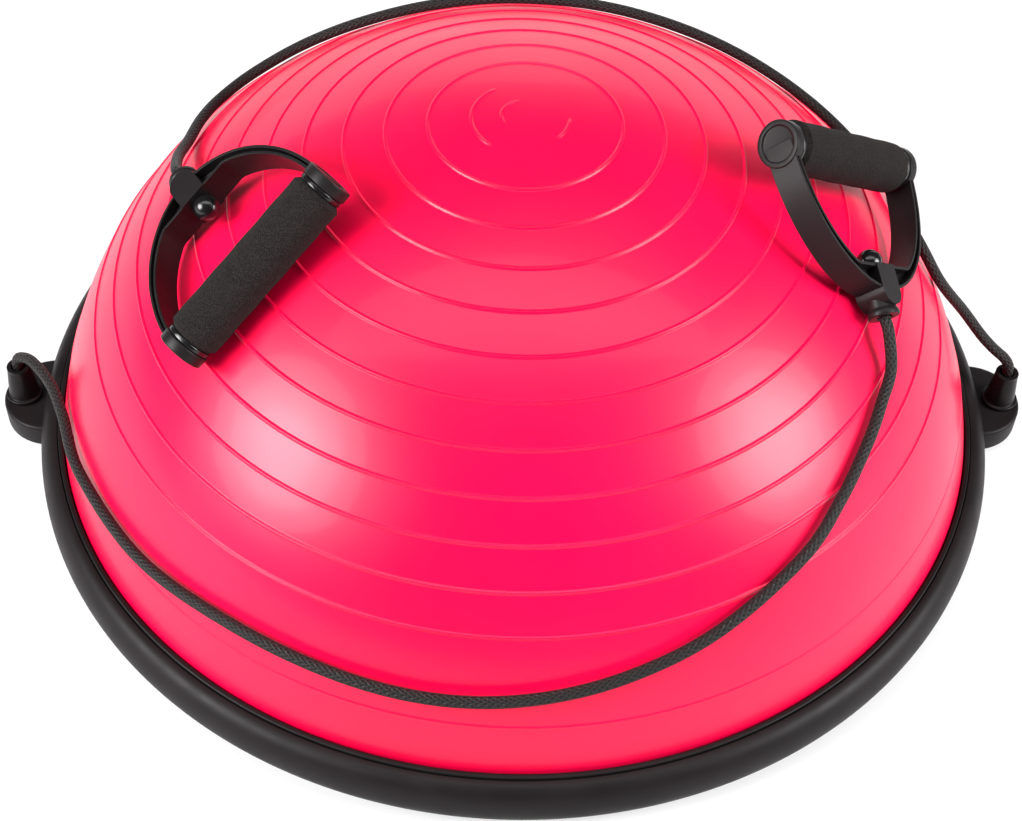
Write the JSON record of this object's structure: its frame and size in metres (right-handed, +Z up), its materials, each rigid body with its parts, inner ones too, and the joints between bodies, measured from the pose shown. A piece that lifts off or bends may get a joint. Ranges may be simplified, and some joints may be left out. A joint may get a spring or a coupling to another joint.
{
  "type": "balance dome trainer",
  "caption": "Inflated half-dome balance trainer on a round flat platform, with an elastic cord from each side ear to a D-shaped foam-grip handle.",
  "frame": {"origin": "on the floor, under the middle of the platform", "axes": "+Z up through the crown of the dome, +X through the right ear, -Y the front, with the longer cord's bow"},
  "size_m": [0.6312, 0.5802, 0.2593],
  "materials": {
    "tray_plastic": "satin black",
    "dome_vinyl": "glossy pink vinyl",
    "valve_rubber": "smooth black",
    "gloss_black": "glossy black",
    "foot_rubber": "matte black",
    "zinc_steel": "zinc plated",
    "sleeve_rubber": "smooth black",
    "elastic_cord": "black braided sheath",
    "yoke_plastic": "satin black",
    "grip_foam": "charcoal foam"
  },
  "bodies": {
    "base": {"base_tray": "tray_plastic", "clamp_ring": "tray_plastic", "dome_bladder": "dome_vinyl", "valve_seat": "valve_rubber", "foot_1": "foot_rubber", "foot_2": "foot_rubber", "foot_3": "foot_rubber", "foot_4": "foot_rubber", "foot_5": "foot_rubber", "foot_6": "foot_rubber", "base_screw_1": "zinc_steel", "base_screw_2": "zinc_steel", "base_screw_3": "zinc_steel", "base_screw_4": "zinc_steel", "base_screw_5": "zinc_steel", "base_screw_6": "zinc_steel", "base_screw_7": "zinc_steel", "base_screw_8": "zinc_steel", "base_screw_9": "zinc_steel", "base_screw_10": "zinc_steel", "left_ear_sleeve": "sleeve_rubber", "right_ear_sleeve": "sleeve_rubber", "left_ear_anchor": "gloss_black", "right_ear_anchor": "gloss_black", "left_cord": "elastic_cord", "right_cord": "elastic_cord"},
    "plug": {"valve_plug": "gloss_black"},
    "left_line": {"left_cord_tail": "elastic_cord"},
    "left_handle": {"left_yoke": "yoke_plastic", "left_stop_ball": "gloss_black"},
    "left_grip": {"left_grip_tube": "yoke_plastic", "left_foam_grip": "grip_foam", "left_grip_ring_1": "gloss_black", "left_grip_ring_2": "gloss_black"},
    "right_line": {"right_cord_tail": "elastic_cord"},
    "right_handle": {"right_yoke": "yoke_plastic", "right_stop_ball": "gloss_black"},
    "right_grip": {"right_grip_tube": "yoke_plastic", "right_foam_grip": "grip_foam", "right_grip_ring_1": "gloss_black", "right_grip_ring_2": "gloss_black"}
  },
  "joints": [
    {"name": "valve_plug_pull", "type": "slide", "parent": "base", "child": "plug", "axis": [0, 0.9117, 0.4109], "range_m": [0, 0.02]},
    {"name": "left_cord_pull", "type": "slide", "parent": "base", "child": "left_line", "axis": [-0.4322, -0.2628, 0.8626], "range_m": [0, 0.4], "stiffness_N_per_m": 150, "deforming": ["left_cord"]},
    {"name": "left_handle_swing", "type": "hinge", "parent": "left_line", "child": "left_handle", "pos_m": [-0.18532, -0.00491, 0.20107], "axis": [-0.6586, -0.4758, -0.583], "range_deg": [0, 75], "deforming": ["left_cord_tail"]},
    {"name": "left_grip_spin", "type": "hinge", "parent": "left_handle", "child": "left_grip", "pos_m": [-0.13917, -0.08462, 0.21398], "axis": [0.6586, 0.4758, 0.583], "continuous": true},
    {"name": "right_cord_pull", "type": "slide", "parent": "base", "child": "right_line", "axis": [0.5237, 0.0018, 0.8519], "range_m": [0, 0.4], "stiffness_N_per_m": 150, "deforming": ["right_cord"]},
    {"name": "right_handle_swing", "type": "hinge", "parent": "right_line", "child": "right_handle", "pos_m": [0.19222, -0.07996, 0.17457], "axis": [0.6986, 0.4594, -0.5486], "range_deg": [0, 75], "deforming": ["right_cord_tail"]},
    {"name": "right_grip_spin", "type": "hinge", "parent": "right_handle", "child": "right_grip", "pos_m": [0.17214, 0.0006, 0.21647], "axis": [-0.6986, -0.4594, 0.5486], "continuous": true}
  ]
}
